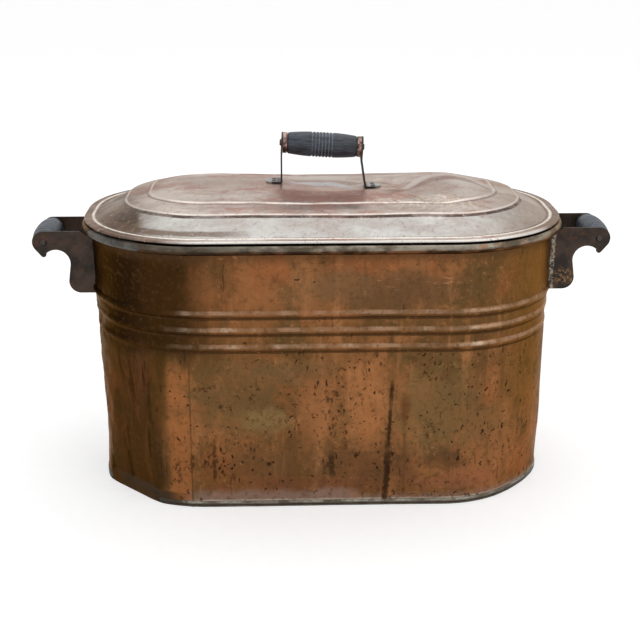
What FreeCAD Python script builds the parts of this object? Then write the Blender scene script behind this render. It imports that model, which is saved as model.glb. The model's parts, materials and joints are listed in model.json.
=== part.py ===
"""Oblong copper laundry boiler with a stepped lift-off lid, two side handles and a lid handle.

Millimetres. The origin is the middle of the base, on the floor: +X runs along the boiler, +Z is
up, and the front is -Y. Body, base and lid share one plan, a rounded rectangle given by its
corner radius and its two flats, so each sheet-metal piece is one section carried round that plan.
A section is drawn in the XZ plane, with x measured from the centre of a plan corner.
"""
import FreeCAD, Part
import math
import os

V = FreeCAD.Vector
UP = V(0, 0, 1)
LENGTHWISE = V(1, 0, 0)
DEPTHWISE = V(0, 1, 0)

# ---- driving dimensions ------------------------------------------------------------------
# plan of the body, at the outer face of the wall just below the rim
corner_radius = 134.0
side_flat = 276.0            # straight run along each long side
end_flat = 32.0              # straight run across each end
body_height = 318.0          # floor to the top of the rim roll
side_taper = 5.3             # how much further in the wall stands at the base than at the rim
sheet = 0.8                  # copper sheet of body, base and lid

# wired rim
rim_wire_radius = 5.2
rim_roll_steps = 10          # flats round the roll and its wire
fold_gap = 0.1               # between folded layers, and between a wire and its roll

# three swaged beads round the body
bead_count = 3
bead_pitch = 19.8
lowest_bead_drop = 121.0     # middle of the lowest bead below the top of the rim
bead_width = 9.0
bead_depth = 2.4
bead_steps = 4               # flats across a bead

# base pan, clinched round the lower edge of the wall, and the upright lock seam at the back
base_recess = 6.0            # underside of the base above the floor
base_seam_height = 7.5
base_floor_lap = 4.0         # overlap of the seam's section with the flat of the base
back_seam_width = 9.0
back_seam_depth = 1.2

# lid, with insets from the outer face of the wall at the rim
lid_overhang = 8.2           # edge of the lid outside the wall
lid_curl_radius = 1.9        # hollow curl round that edge
lid_curl_start = -170.0      # where the curl begins, above the level
lid_curl_steps = 5
lid_seat_gap = 0.1           # between the curl and the rim roll that it rests on
lid_ridge_inset = 2.5        # crest of the outer ridge
lid_ridge_width = 5.0
lid_ridge_height = 1.6
lid_groove_width = 2.4       # level strip inside that ridge, with the collar under its middle
lid_step_inset = 38.4        # foot of the step between the two bands
lid_step_width = 3.0
lid_step_height = 2.7
lid_bead_inset = 66.0        # foot of the bead round the middle panel
lid_bead_width = 9.4
lid_bead_height = 2.0
lid_crown_inset = 112.0      # where the crown of the middle panel levels out
lid_outer_rise = 15.8        # rise of the outer band
lid_inner_rise = 6.6         # rise of the inner band
lid_bead_rise = 1.8          # from one foot of the panel's bead to the other
lid_crown_rise = 6.0         # rise of the middle panel
lid_panel_lap = 3.0          # overlap of the lid's section with its level middle
collar_depth = 21.0          # band that drops into the mouth

# lid handle
lid_grip_length = 92.0       # over its ferrules
lid_grip_end_radius = 12.2
lid_grip_middle_radius = 15.0
lid_grip_height = 44.0       # grip axis above the middle panel, half way along
ferrule_length = 4.5
ferrule_wall = 0.7
groove_count = 7
groove_pitch = 3.9
groove_depth = 0.8
swell_steps = 3              # flats along each bare length of a grip
lid_strap_radius = 12.5      # round end of a strap, and half its width
lid_strap_thickness = 2.0
lid_strap_eye = 14.0         # grip axis down to the crook of a strap
lid_strap_foot = 20.0
lid_strap_bend = 1.5         # inside radius of the bend into a foot
lid_strap_lean = 5.0         # how far the right leg leans out on its way down
lid_rod_radius = 3.0
lid_dent_depth = 6.0         # the right foot has pushed the panel down by this much
lid_dent_floor = 17.5        # radius of the level middle of that dent
lid_dent_radius = 33.0       # radius of its edge
lid_dent_steps = 2           # flats across each bend of the dent

# side handles
ear_span = 76.0              # over the outer faces of a pair of ears
ear_thickness = 2.0
grip_reach = 56.0            # grip axis outside the wall
grip_drop = 26.0             # grip axis below the top of the rim
nose_radius = 13.0
tip_radius = 3.2
tip_drop = 1.4
arch_reach = 42.0            # centre of the finger arch outside the wall
arch_drop = 25.7             # centre of the arch below the grip axis
arch_radius = 16.6
arch_end_angle = 48.0        # where the arch meets the tip, above the level
lobe_reach = 14.2            # centre of the lower lobe outside the wall
lobe_drop = 47.7             # centre of the lobe below the grip axis
lobe_radius = 14.0
tuck_reach = 13.0            # where the top edge turns down under the rim roll
tuck_drop = 8.0
ear_root = 4.0               # length of ear that is trimmed to the wall
back_plate_height = 46.0
side_grip_end_radius = 12.5
side_grip_middle_radius = 16.0
side_rod_radius = 3.3

# fasteners and running clearances
rivet_radius = 2.5
rivet_head_radius = 4.5
rivet_head_height = 2.0
rivet_clearance = 0.05
bracket_rivet_spread = 44.0  # across the back plate
bracket_rivet_rise = 28.0    # up the back plate
foot_rivet_spread = 12.0
foot_rivet_radius = 1.6
foot_rivet_head_radius = 3.0
foot_rivet_head_height = 1.3
rod_head_radius = 4.4
rod_head_height = 2.6
dome_angles = (0, 45)        # where the flats of a domed head meet, above its seat
spin_clearance = 0.08        # rod in the bore of a grip
end_clearance = 0.3          # ends of a grip to the plates that carry it
ferrule_gap = 0.05           # ferrule to the wood inside it
seat_gap = 0.1               # bracket and rivet heads to the sheet that they seat on
shortest_line = 0.001        # a shorter line between two rounds of an outline is left out

# ---- derived places ----------------------------------------------------------------------
core_x = side_flat / 2
core_y = end_flat / 2
corners = [V(core_x, core_y, 0), V(-core_x, core_y, 0), V(-core_x, -core_y, 0), V(core_x, -core_y, 0)]
end_x = core_x + corner_radius
lowest_bead_z = body_height - lowest_bead_drop
base_radius = corner_radius - side_taper
rim_bore_radius = rim_wire_radius + fold_gap
rim_roll_radius = rim_bore_radius + sheet
rim_axis = V(corner_radius + rim_bore_radius, 0, body_height - rim_roll_radius)

lid_curl_axis = V(corner_radius + lid_overhang - lid_curl_radius, 0,
                  body_height + lid_seat_gap + lid_curl_radius)
lid_ledge_z = lid_curl_axis.z + lid_curl_radius
lid_groove_inset = lid_ridge_inset + lid_ridge_width / 2
lid_step_z = lid_ledge_z + lid_outer_rise
lid_bead_z = lid_step_z + lid_step_height + lid_inner_rise
lid_panel_z = lid_bead_z + lid_bead_rise + lid_crown_rise

side_axis_z = body_height - grip_drop
back_plate_top = side_axis_z + nose_radius - tuck_drop
back_plate_low = back_plate_top - back_plate_height
side_grip_length = ear_span - 2 * (ear_thickness + end_clearance)

strap_spacing = lid_grip_length + 2 * end_clearance
lid_tilt = math.degrees(math.asin(lid_dent_depth / (strap_spacing + lid_strap_lean)))
lid_grip_centre = V(0, 0, lid_panel_z + lid_grip_height)
lid_grip_along = V(math.cos(math.radians(lid_tilt)), 0, -math.sin(math.radians(lid_tilt)))
lid_grip_across = V(-lid_grip_along.z, 0, lid_grip_along.x)


# ---- drawing helpers ---------------------------------------------------------------------
def on_circle(centre, radius, degrees):
    """The point of a circle in the XZ plane, at an angle above +X."""
    turn = math.radians(degrees)
    return centre + V(radius * math.cos(turn), 0, radius * math.sin(turn))


def circle_arc(centre, radius, start, end):
    """The arc of a circle in the XZ plane from one angle to another, either way round."""
    points = [on_circle(centre, radius, angle) for angle in (start, (start + end) / 2, end)]
    return Part.Arc(*points).toShape()


def arc_points(centre, radius, start, end, steps):
    """Points along an arc, so that a sheet bent along it in short flats is carried as plain cones."""
    return [on_circle(centre, radius, start + (end - start) * step / steps) for step in range(steps + 1)]


def polyline(points):
    return [Part.makeLine(a, b) for a, b in zip(points, points[1:])]


def outline_face(edges):
    return Part.Face(Part.Wire(Part.__sortEdges__(edges)))


def sheet_section(points, thickness):
    """A sheet of even thickness on the left of a run of points in the XZ plane."""
    run = Part.Wire(polyline(points))
    section = run.makeOffset2D(thickness, join=2, fill=True, openResult=True)
    return section.Faces[0]


def strip_section(a, b, thickness):
    """A sheet of even thickness on the left of one straight line in the XZ plane."""
    along = (b - a).normalize()
    left = V(-along.z, 0, along.x) * thickness
    return outline_face(polyline([a, b, b + left, a + left, a]))


def carry_round_plan(section):
    """The solid that a section makes when it is carried once round the plan."""
    pieces = []
    for number, corner in enumerate(corners):
        start = section.copy()
        start.rotate(V(), UP, 90 * number)
        start.translate(corner)
        pieces.append(start.revolve(corner, UP, 90))
        finish = section.copy()
        finish.rotate(V(), UP, 90 * (number + 1))
        finish.translate(corner)
        pieces.append(finish.extrude(corners[(number + 1) % len(corners)] - corner))
    return pieces[0].multiFuse(pieces[1:]).removeSplitter()


def plan_plate(radius, low, thickness):
    """A level plate with the plan's flats and its own corner radius."""
    across = Part.makeBox(side_flat, end_flat + 2 * radius, thickness, V(-core_x, -core_y - radius, low))
    along = Part.makeBox(side_flat + 2 * radius, end_flat, thickness, V(-core_x - radius, -core_y, low))
    rounds = [Part.makeCylinder(radius, thickness, corner + UP * low) for corner in corners]
    return across.multiFuse([along] + rounds).removeSplitter()


def tangent_outline(rounds):
    """A closed face whose outline runs round circles in turn, in straight lines tangent to both.

    Each round is (centre, radius, side): side is 1 where the outline bulges round the circle and
    -1 where it hollows round it, and a radius of 0 makes a corner. The material is on the left.
    """
    leave = {}
    arrive = {}
    for index, (centre, radius, side) in enumerate(rounds):
        following = (index + 1) % len(rounds)
        next_centre, next_radius, next_side = rounds[following]
        step = next_centre - centre
        along = step * (1 / step.Length)
        left = V(-along.z, 0, along.x)
        share = (next_side * next_radius - side * radius) / step.Length
        normal = along * share + left * math.sqrt(max(0.0, 1 - share * share))
        leave[index] = centre - normal * (side * radius)
        arrive[following] = next_centre - normal * (next_side * next_radius)
        if (arrive[following] - leave[index]).Length < shortest_line:
            leave[index] = arrive[following]
    edges = []
    for index, (centre, radius, side) in enumerate(rounds):
        if radius > 0:
            first = arrive[index] - centre
            last = leave[index] - centre
            start = math.degrees(math.atan2(first.z, first.x))
            end = math.degrees(math.atan2(last.z, last.x))
            sweep = (side * (end - start)) % 360
            edges.append(circle_arc(centre, radius, start, start + side * sweep))
        reached = arrive[(index + 1) % len(rounds)]
        if (reached - leave[index]).Length > shortest_line:
            edges.append(Part.makeLine(leave[index], reached))
    return outline_face(edges)


def bored(shape, axis_point, direction, radius, length):
    """The shape with a round hole, centred half way along its length."""
    return shape.cut(Part.makeCylinder(radius, length, axis_point - direction * (length / 2), direction))


def turned(outline, start, direction):
    """A turned solid on an axis, from its half outline as pairs of distance along and radius."""
    half = outline_face(polyline([V(along, 0, radius) for along, radius in outline + outline[:1]]))
    solid = half.revolve(V(), LENGTHWISE, 360)
    solid.Placement = FreeCAD.Placement(start, FreeCAD.Rotation(LENGTHWISE, direction))
    return solid


def domed_pin(start, direction, length, radius, head_radius, head_height):
    """A pin with a domed head beyond each end of its length."""
    dome = [(head_height * math.sin(math.radians(angle)), head_radius * math.cos(math.radians(angle)))
            for angle in dome_angles]
    near = [(-rise, reach) for rise, reach in reversed(dome)] + [(0, radius)]
    far = [(length, radius)] + [(length + rise, reach) for rise, reach in dome]
    return turned([(near[0][0], 0)] + near + far + [(far[-1][0], 0)], start, direction)


def save(shape, node):
    """Write one node, and say so if it isn't made of closed solids."""
    if not shape.isValid() or not shape.Solids:
        print("bad shape:", node)
    shape.exportStep("parts/" + node + ".step")


# ---- body --------------------------------------------------------------------------------
def wall_radius(z):
    """Corner radius of the wall's outer face at a height."""
    share = (z - base_seam_height) / (rim_axis.z - base_seam_height)
    return base_radius + side_taper * min(1.0, max(0.0, share))


def wall_face(proud=0.0):
    """Points up the wall's outer face from foot to rim, beads and all, moved out by a distance."""
    points = [V(base_radius + proud, 0, sheet + fold_gap), V(base_radius + proud, 0, base_seam_height)]
    for number in range(bead_count):
        for step in range(bead_steps + 1):
            across = 2 * step / bead_steps - 1
            z = lowest_bead_z + number * bead_pitch + across * bead_width / 2
            points.append(V(wall_radius(z) + bead_depth * (1 - across ** 2) + proud, 0, z))
    points.append(V(corner_radius + proud, 0, rim_axis.z))
    return points


def bracket_rivets(end):
    """Centre, direction and inner radius of each rivet of a bracket: end is 1 or -1."""
    places = []
    for rise in (-bracket_rivet_rise / 2, bracket_rivet_rise / 2):
        z = (back_plate_low + back_plate_top) / 2 + rise
        past_flat = max(0.0, bracket_rivet_spread / 2 - core_y)
        turn = math.asin(past_flat / wall_radius(z))
        for side in (1, -1):
            direction = V(end * math.cos(turn), side * math.sin(turn), 0)
            centre = V(end * core_x, side * min(core_y, bracket_rivet_spread / 2), z)
            places.append((centre, direction, wall_radius(z) - sheet - seat_gap))
    return places


def rim_roll(radius):
    """Points over the rim roll at a radius about the wire, from the wall round to the tuck."""
    tuck = math.degrees(math.acos((rim_bore_radius - fold_gap) / rim_roll_radius))
    return arc_points(rim_axis, radius, 180, tuck - 180, rim_roll_steps)


def make_body_wall():
    """The tapered wall with its beads, its roll round the rim wire and its back seam."""
    wall = carry_round_plan(sheet_section(wall_face()[:-1] + rim_roll(rim_bore_radius), sheet))
    seam_high = rim_axis.z - rim_roll_radius
    seam = sheet_section(wall_face(back_seam_depth), back_seam_depth + sheet / 2)
    seam.rotate(V(), UP, 90)
    seam = seam.extrude(LENGTHWISE * back_seam_width)
    seam.translate(V(-back_seam_width / 2, core_y, 0))
    seam_room = Part.makeBox(side_flat, end_x, seam_high - base_seam_height - seat_gap,
                             V(-core_x, 0, base_seam_height + seat_gap))
    wall = wall.fuse(seam.common(seam_room)).removeSplitter()
    for end in (1, -1):
        for centre, direction, inner in bracket_rivets(end):
            wall = bored(wall, centre + direction * inner, direction, rivet_radius + rivet_clearance,
                         4 * rivet_head_radius)
    return wall


def make_rim_wire():
    """The iron wire inside the rolled rim."""
    points = rim_roll(rim_wire_radius)
    return carry_round_plan(outline_face(polyline(points + points[:1])))


def make_bottom_pan():
    """The base: a raised flat whose edge is folded down, under and up round the wall."""
    inner = base_radius - 2 * sheet - fold_gap
    outer = base_radius + fold_gap + sheet
    points = [V(inner - base_floor_lap, 0, base_recess), V(inner, 0, base_recess), V(inner, 0, 0),
              V(outer, 0, 0), V(outer, 0, base_seam_height)]
    seam = carry_round_plan(sheet_section(points, sheet))
    return seam.fuse(plan_plate(inner - base_floor_lap / 2, base_recess, sheet)).removeSplitter()


# ---- lid ---------------------------------------------------------------------------------
def inset(distance, z):
    """A point of the lid's section, inward from the outer face of the wall."""
    return V(corner_radius - distance, 0, z)


def make_dent(centre):
    """The round dent in the lid's middle panel: a level floor inside two tangent arcs."""
    width = lid_dent_radius - lid_dent_floor
    bend = (width ** 2 + lid_dent_depth ** 2) / (4 * lid_dent_depth)
    turn = math.degrees(math.asin(width / 2 / bend))
    edge = V(lid_dent_radius, 0, 0)
    foot = V(lid_dent_floor, 0, -lid_dent_depth)
    points = [edge + LENGTHWISE * lid_panel_lap]
    points += arc_points(edge - UP * bend, bend, 90, 90 + turn, lid_dent_steps)
    points += arc_points(foot + UP * bend, bend, turn - 90, -90, lid_dent_steps)[1:]
    points.append(V(0, 0, -lid_dent_depth))
    dent = sheet_section(points, sheet).revolve(V(), UP, 360)
    dent.translate(centre)
    return dent


def make_lid_panel():
    """The stamped lid: curl, ridge, groove, band, step, band, bead and crowned middle panel."""
    bead = lid_bead_inset + lid_bead_width
    bead_top = inset(lid_bead_inset + lid_bead_width / 2, lid_bead_z + lid_bead_rise / 2 + lid_bead_height)
    points = arc_points(lid_curl_axis, lid_curl_radius, lid_curl_start, 90, lid_curl_steps)
    points += [inset(lid_ridge_inset - lid_ridge_width / 2, lid_ledge_z),
               inset(lid_ridge_inset, lid_ledge_z + lid_ridge_height),
               inset(lid_groove_inset, lid_ledge_z),
               inset(lid_groove_inset + lid_groove_width, lid_ledge_z),
               inset(lid_step_inset, lid_step_z),
               inset(lid_step_inset + lid_step_width, lid_step_z + lid_step_height),
               inset(lid_bead_inset, lid_bead_z), bead_top, inset(bead, lid_bead_z + lid_bead_rise),
               inset(lid_crown_inset, lid_panel_z), inset(lid_crown_inset + lid_panel_lap, lid_panel_z)]
    lid = carry_round_plan(sheet_section(points, sheet))
    middle = plan_plate(corner_radius - lid_crown_inset, lid_panel_z - sheet, sheet)
    dent_centre = V(right_strap.foot_x, 0, lid_panel_z)
    hole = Part.makeCylinder(lid_dent_radius + lid_panel_lap / 2, 2 * sheet, dent_centre - UP * (1.5 * sheet))
    lid = lid.fuse(middle).cut(hole).fuse(make_dent(dent_centre)).removeSplitter()
    for strap in (left_strap, right_strap):
        for place in strap.rivet_places():
            lid = bored(lid, place, UP, foot_rivet_radius + rivet_clearance, 4 * lid_strap_thickness)
    return lid


def make_lid_collar():
    """The band under the lid's groove that drops into the mouth of the boiler."""
    outer = corner_radius - lid_groove_inset - (lid_groove_width - sheet) / 2
    top = lid_ledge_z - sheet
    return carry_round_plan(strip_section(V(outer, 0, top - collar_depth), V(outer, 0, top), sheet))


# ---- lid handle --------------------------------------------------------------------------
class LidStrap:
    """One strap of the lid handle: a round eye, a leg and a foot. side is -1 left or 1 right."""

    def __init__(self, side, foot_z, lean):
        self.side = side
        self.foot_z = foot_z
        self.eye = lid_grip_centre + lid_grip_along * (side * strap_spacing / 2)
        self.crook = self.eye - lid_grip_across * lid_strap_eye
        self.heel = V(self.crook.x + side * lean, 0, foot_z)
        self.toe_x = self.heel.x + side * lid_strap_foot
        self.foot_x = (self.heel.x + self.toe_x) / 2

    def rivet_places(self):
        return [V(self.foot_x, side * foot_rivet_spread / 2, self.foot_z) for side in (-1, 1)]

    def make(self):
        crown = self.eye + lid_grip_across * lid_strap_radius
        points = [crown, self.crook, self.heel, V(self.toe_x, 0, self.foot_z)]
        if self.side < 0:
            points.reverse()
        strap = sheet_section(points, lid_strap_thickness)
        strap.translate(DEPTHWISE * -lid_strap_radius)
        strap = strap.extrude(DEPTHWISE * (2 * lid_strap_radius))
        inside = self.heel + V(self.side * lid_strap_thickness, 0, lid_strap_thickness)
        strap = strap.makeFillet(lid_strap_bend, self.edges_along(strap, inside))
        strap = strap.makeFillet(lid_strap_bend + lid_strap_thickness, self.edges_along(strap, self.heel))
        strap = bored(self.trimmed(strap), self.eye, lid_grip_along, lid_rod_radius + rivet_clearance,
                      8 * lid_strap_thickness)
        for place in self.rivet_places():
            strap = bored(strap, place, UP, foot_rivet_radius + rivet_clearance, 4 * lid_strap_thickness)
        return strap

    def edges_along(self, strap, place):
        """The long edge of the strap whose middle is at a place, within half the thickness."""
        return [edge for edge in strap.Edges
                if edge.Length > lid_strap_radius
                and (edge.CenterOfMass - place).Length < lid_strap_thickness / 2]

    def trimmed(self, strap):
        """The strap with its eye and its toe rounded."""
        reach = 2 * lid_strap_radius
        eye_round = Part.makeCylinder(lid_strap_radius, 2 * reach, self.eye - lid_grip_along * reach,
                                      lid_grip_along)
        below_eye = Part.makeBox(4 * reach, reach, self.eye.z - self.foot_z,
                                 V(self.eye.x - 2 * reach, -lid_strap_radius, self.foot_z))
        toe_centre = V(self.toe_x - self.side * lid_strap_radius, 0, self.foot_z)
        toe_round = Part.makeCylinder(lid_strap_radius, 2 * reach + lid_grip_height, toe_centre)
        behind_toe = Part.makeBox(2 * reach, reach, 2 * reach + lid_grip_height,
                                  toe_centre - V((1 + self.side) * reach, lid_strap_radius, 0))
        return strap.common(eye_round.fuse(below_eye)).common(toe_round.fuse(behind_toe))


left_strap = LidStrap(-1, lid_panel_z, 0.0)
right_strap = LidStrap(1, lid_panel_z - lid_dent_depth, lid_strap_lean)


# ---- turned grips and their rods ---------------------------------------------------------
def turned_grip(centre, along, length, end_radius, middle_radius, bore_radius, grooves, tenon):
    """A wooden barrel on an axis, with ring grooves at its middle and a tenon at each end."""
    half = length / 2
    shoulder = half - tenon

    def barrel(x):
        return x, middle_radius - (middle_radius - end_radius) * (x / shoulder) ** 2

    zone = grooves * groove_pitch / 2
    outline = [(-half, bore_radius)]
    if tenon > 0:
        tenon_radius = end_radius - ferrule_wall - ferrule_gap
        outline += [(-half, tenon_radius), (-shoulder, tenon_radius)]
    outline += [barrel(-shoulder + (shoulder - zone) * step / swell_steps) for step in range(swell_steps + 1)]
    for number in range(grooves):
        middle, surface = barrel((number + 0.5 - grooves / 2) * groove_pitch)
        outline += [(middle, surface - groove_depth), barrel(middle + groove_pitch / 2)]
    outline += [barrel(zone + (shoulder - zone) * step / swell_steps) for step in range(1, swell_steps + 1)]
    if tenon > 0:
        outline += [(shoulder, tenon_radius), (half, tenon_radius)]
    outline.append((half, bore_radius))
    return turned(outline, centre, along)


def make_lid_grip():
    return turned_grip(lid_grip_centre, lid_grip_along, lid_grip_length - 2 * (ferrule_wall + ferrule_gap),
                       lid_grip_end_radius, lid_grip_middle_radius, lid_rod_radius + spin_clearance,
                       groove_count, ferrule_length - ferrule_wall)


def make_ferrule(side):
    """The copper cap on one end of the lid grip: side is -1 left or 1 right."""
    bore = lid_rod_radius + spin_clearance
    inner = lid_grip_end_radius - ferrule_wall
    outline = [(0, bore), (0, lid_grip_end_radius), (ferrule_length, lid_grip_end_radius),
               (ferrule_length, inner), (ferrule_wall, inner), (ferrule_wall, bore)]
    return turned(outline, lid_grip_centre + lid_grip_along * (side * lid_grip_length / 2),
                  lid_grip_along * -side)


def make_lid_grip_rod():
    length = strap_spacing + 2 * lid_strap_thickness
    return domed_pin(lid_grip_centre - lid_grip_along * (length / 2), lid_grip_along, length,
                     lid_rod_radius, rod_head_radius, rod_head_height)


def make_foot_rivets():
    """Four small rivets that hold the two feet to the lid, as one group of solids."""
    length = lid_strap_thickness + sheet
    return Part.Compound([domed_pin(place - UP * sheet, UP, length, foot_rivet_radius, foot_rivet_head_radius,
                                    foot_rivet_head_height)
                          for strap in (left_strap, right_strap) for place in strap.rivet_places()])


# ---- side handles, built at the right end and mirrored to the left -----------------------
def ear_outline():
    """One ear seen from the front: root, lower lobe, finger arch, hooked tip, nose and top edge."""
    def beside_wall(reach, drop):
        return V(end_x + reach, 0, side_axis_z - drop)

    arch = beside_wall(arch_reach, arch_drop)
    notch = on_circle(arch, arch_radius, arch_end_angle)
    lowest = lobe_drop + lobe_radius
    return tangent_outline([
        (beside_wall(-ear_root, lowest), 0, 1),
        (beside_wall(lobe_reach, lobe_drop), lobe_radius, 1),
        (arch, arch_radius, -1),
        (notch, 0, 1),
        (notch + V(tip_radius, 0, -tip_drop), tip_radius, 1),
        (beside_wall(grip_reach, 0), nose_radius, 1),
        (beside_wall(tuck_reach, -nose_radius), 0, 1),
        (beside_wall(0, tuck_drop - nose_radius), 0, 1),
        (beside_wall(-ear_root, tuck_drop - nose_radius), 0, 1)])


def make_bracket():
    """The right bracket: a back plate that follows the wall, and an ear turned out at each side."""
    top, low = [V(wall_radius(z) + seat_gap - ear_root, 0, z) for z in (back_plate_top, back_plate_low)]
    plate = carry_round_plan(strip_section(top, low, ear_root + ear_thickness))
    plate = plate.common(Part.makeBox(end_x, ear_span, body_height, V(core_x, -ear_span / 2, 0)))
    ear = ear_outline().extrude(DEPTHWISE * ear_thickness)
    ears = [ear.translated(DEPTHWISE * y) for y in (-ear_span / 2, ear_span / 2 - ear_thickness)]
    face = wall_face(seat_gap)
    behind = [V(corner_radius / 2, 0, point.z) for point in (face[-1], face[0])]
    core = carry_round_plan(outline_face(polyline(face + behind + face[:1])))
    bracket = plate.multiFuse(ears).cut(core).removeSplitter()
    for centre, direction, radius in bracket_rivets(1):
        bracket = bored(bracket, centre + direction * radius, direction, rivet_radius + rivet_clearance,
                        4 * rivet_head_radius)
    axis = V(end_x + grip_reach, 0, side_axis_z)
    return bored(bracket, axis, DEPTHWISE, side_rod_radius + rivet_clearance, 2 * ear_span)


def make_side_grip():
    return turned_grip(V(end_x + grip_reach, 0, side_axis_z), DEPTHWISE, side_grip_length,
                       side_grip_end_radius, side_grip_middle_radius, side_rod_radius + spin_clearance, 0, 0)


def make_side_rod():
    start = V(end_x + grip_reach, -ear_span / 2, side_axis_z)
    return domed_pin(start, DEPTHWISE, ear_span, side_rod_radius, rod_head_radius, rod_head_height)


def make_bracket_rivets():
    """Four rivets through the right bracket's back plate and the wall, as one group of solids."""
    length = sheet + ear_thickness + 3 * seat_gap
    return Part.Compound([domed_pin(centre + direction * inner, direction, length, rivet_radius,
                                    rivet_head_radius, rivet_head_height)
                          for centre, direction, inner in bracket_rivets(1)])


# ---- the assembly ------------------------------------------------------------------------
os.makedirs("parts", exist_ok=True)

save(make_body_wall(), "body_wall")
save(make_rim_wire(), "rim_wire")
save(make_bottom_pan(), "bottom_pan")

save(make_lid_panel(), "lid_panel")
save(make_lid_collar(), "lid_collar")
save(left_strap.make(), "lid_strap_left")
save(right_strap.make(), "lid_strap_right")
save(make_foot_rivets(), "lid_strap_rivets")
save(make_lid_grip(), "lid_grip")
save(make_ferrule(-1), "lid_ferrule_left")
save(make_ferrule(1), "lid_ferrule_right")
save(make_lid_grip_rod(), "lid_grip_rod")

for piece, node in ((make_bracket(), "side_bracket"), (make_side_grip(), "side_grip"),
                    (make_side_rod(), "side_grip_rod"), (make_bracket_rivets(), "side_bracket_rivets")):
    save(piece, node + "_right")
    save(piece.mirror(V(), LENGTHWISE), node + "_left")
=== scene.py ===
"""Looks of the oblong copper laundry boiler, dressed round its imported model.

Metres, in the model's own frame: +X runs along the boiler, +Z is up, and the front is -Y.
"""
import json
import math

import bmesh
import bpy
import numpy as np
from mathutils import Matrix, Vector, noise


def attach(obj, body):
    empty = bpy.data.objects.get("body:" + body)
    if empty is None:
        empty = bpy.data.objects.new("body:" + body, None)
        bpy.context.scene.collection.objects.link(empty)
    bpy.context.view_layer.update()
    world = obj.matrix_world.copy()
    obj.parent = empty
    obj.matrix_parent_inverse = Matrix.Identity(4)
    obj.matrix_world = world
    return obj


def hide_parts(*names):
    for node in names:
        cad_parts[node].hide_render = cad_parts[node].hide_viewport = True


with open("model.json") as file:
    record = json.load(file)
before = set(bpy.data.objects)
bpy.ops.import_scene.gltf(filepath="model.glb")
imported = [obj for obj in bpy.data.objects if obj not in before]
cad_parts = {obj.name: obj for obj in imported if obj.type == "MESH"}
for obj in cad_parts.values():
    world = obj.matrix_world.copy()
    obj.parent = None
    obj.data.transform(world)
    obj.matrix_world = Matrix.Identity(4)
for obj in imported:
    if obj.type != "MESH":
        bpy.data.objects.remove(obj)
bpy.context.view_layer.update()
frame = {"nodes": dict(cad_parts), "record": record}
MM = 0.001

# ---- shared plan ---------------------------------------------------------------------------
CORE_X = 138 * MM            # half the straight run along a long side
CORE_Y = 16 * MM             # half the straight run across an end
RIM_RADIUS = 134 * MM        # corner radius of the wall's outer face at the rim
BASE_RADIUS = 128.7 * MM     # the same at the foot
SHEET = 0.8 * MM
RIM_Z = 311.9 * MM           # axis of the rim wire
RIM_AXIS_RADIUS = RIM_RADIUS + 5.3 * MM
RIM_ROLL = 5.85 * MM         # radius of the roll round that wire
SEAM_TOP = 7.5 * MM
BEAD_HEIGHTS = [197 * MM, 216.8 * MM, 236.6 * MM]
BEAD_HALF_WIDTH = 4.9 * MM
BEAD_DEPTH = 2.6 * MM
SEAM_HALF = 4.5 * MM         # half the width of the lock seam up the middle of the back
SEAM_EASE = 0.4 * MM
SEAM_DEPTH = 1.2 * MM
UNDER_ROLL = (0.3045, 0.3060)    # heights at which looks of the wall end below the roll
FRONT_Y = -146 * MM          # where marks on the front are centred

# the lid's curled edge: corner radius and height of its axis, and the radius of the curl
LID_CURL = (140.3 * MM, 320.0 * MM, 1.9 * MM)
# the lid from there inward: inset from the wall's outer face, and height, both in millimetres
LID_SECTION = [(0.0, 321.9), (2.5, 323.6), (5.0, 321.9), (7.4, 321.9), (22.0, 329.8), (38.4, 337.7),
               (40.6, 340.4), (53.0, 344.2), (66.0, 346.8), (70.7, 350.0), (75.4, 348.6), (94.0, 352.6),
               (112.0, 354.8)]
LID_TOP = 354.8 * MM
DENT = (60.4 * MM, 0.0, 6.0 * MM)    # under the handle's right foot: x, y and depth
LEFT_FOOT_X = -57 * MM


# ---- mesh helpers --------------------------------------------------------------------------
def smooth_step(low, high, value):
    share = np.clip((value - low) / (high - low), 0, 1)
    return share * share * (3 - 2 * share)


def hump(value, centre, width):
    """A bell of height 1."""
    return np.exp(-((value - centre) / width) ** 2)


def plan_stations(arc_steps=48, long_steps=64, end_steps=10):
    """Stations once round the plan: core point and outward normal, as rows of cx, cy, nx, ny."""
    signs = [(1, 1), (-1, 1), (-1, -1), (1, -1)]
    rows = []
    for number, (sign_x, sign_y) in enumerate(signs):
        for step in range(arc_steps + 1):
            turn = math.radians(90 * (number + step / arc_steps))
            rows.append((sign_x * CORE_X, sign_y * CORE_Y, math.cos(turn), math.sin(turn)))
        next_x, next_y = signs[(number + 1) % 4]
        steps = long_steps if number % 2 == 0 else end_steps
        shares = [step / steps for step in range(1, steps)]
        if number == 0:
            shares += [0.5 + side * (SEAM_HALF + ease) / (2 * CORE_X)
                       for side in (1, -1) for ease in (-SEAM_EASE, 0.0, SEAM_EASE)]
        for share in sorted(shares):
            rows.append(((sign_x + (next_x - sign_x) * share) * CORE_X,
                         (sign_y + (next_y - sign_y) * share) * CORE_Y, math.cos(turn), math.sin(turn)))
    return np.array(rows)


PLAN = plan_stations()


def arc_profile(radius, z, arc_radius, start, end, steps):
    """Section points along an arc, as (corner radius, height)."""
    turns = np.radians(np.linspace(start, end, steps + 1))
    return [(radius + arc_radius * math.cos(turn), z + arc_radius * math.sin(turn)) for turn in turns]


def resampled(points, spacing, passes):
    """The same section at an even spacing, with its corners eased."""
    points = np.array(points)
    along = np.concatenate([[0], np.cumsum(np.linalg.norm(np.diff(points, axis=0), axis=1))])
    places = np.linspace(0, along[-1], int(along[-1] / spacing) + 1)
    line = np.stack([np.interp(places, along, points[:, axis]) for axis in (0, 1)], axis=1)
    for _ in range(passes):
        line[1:-1] = (line[:-2] + 2 * line[1:-1] + line[2:]) / 4
    return line


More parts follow.
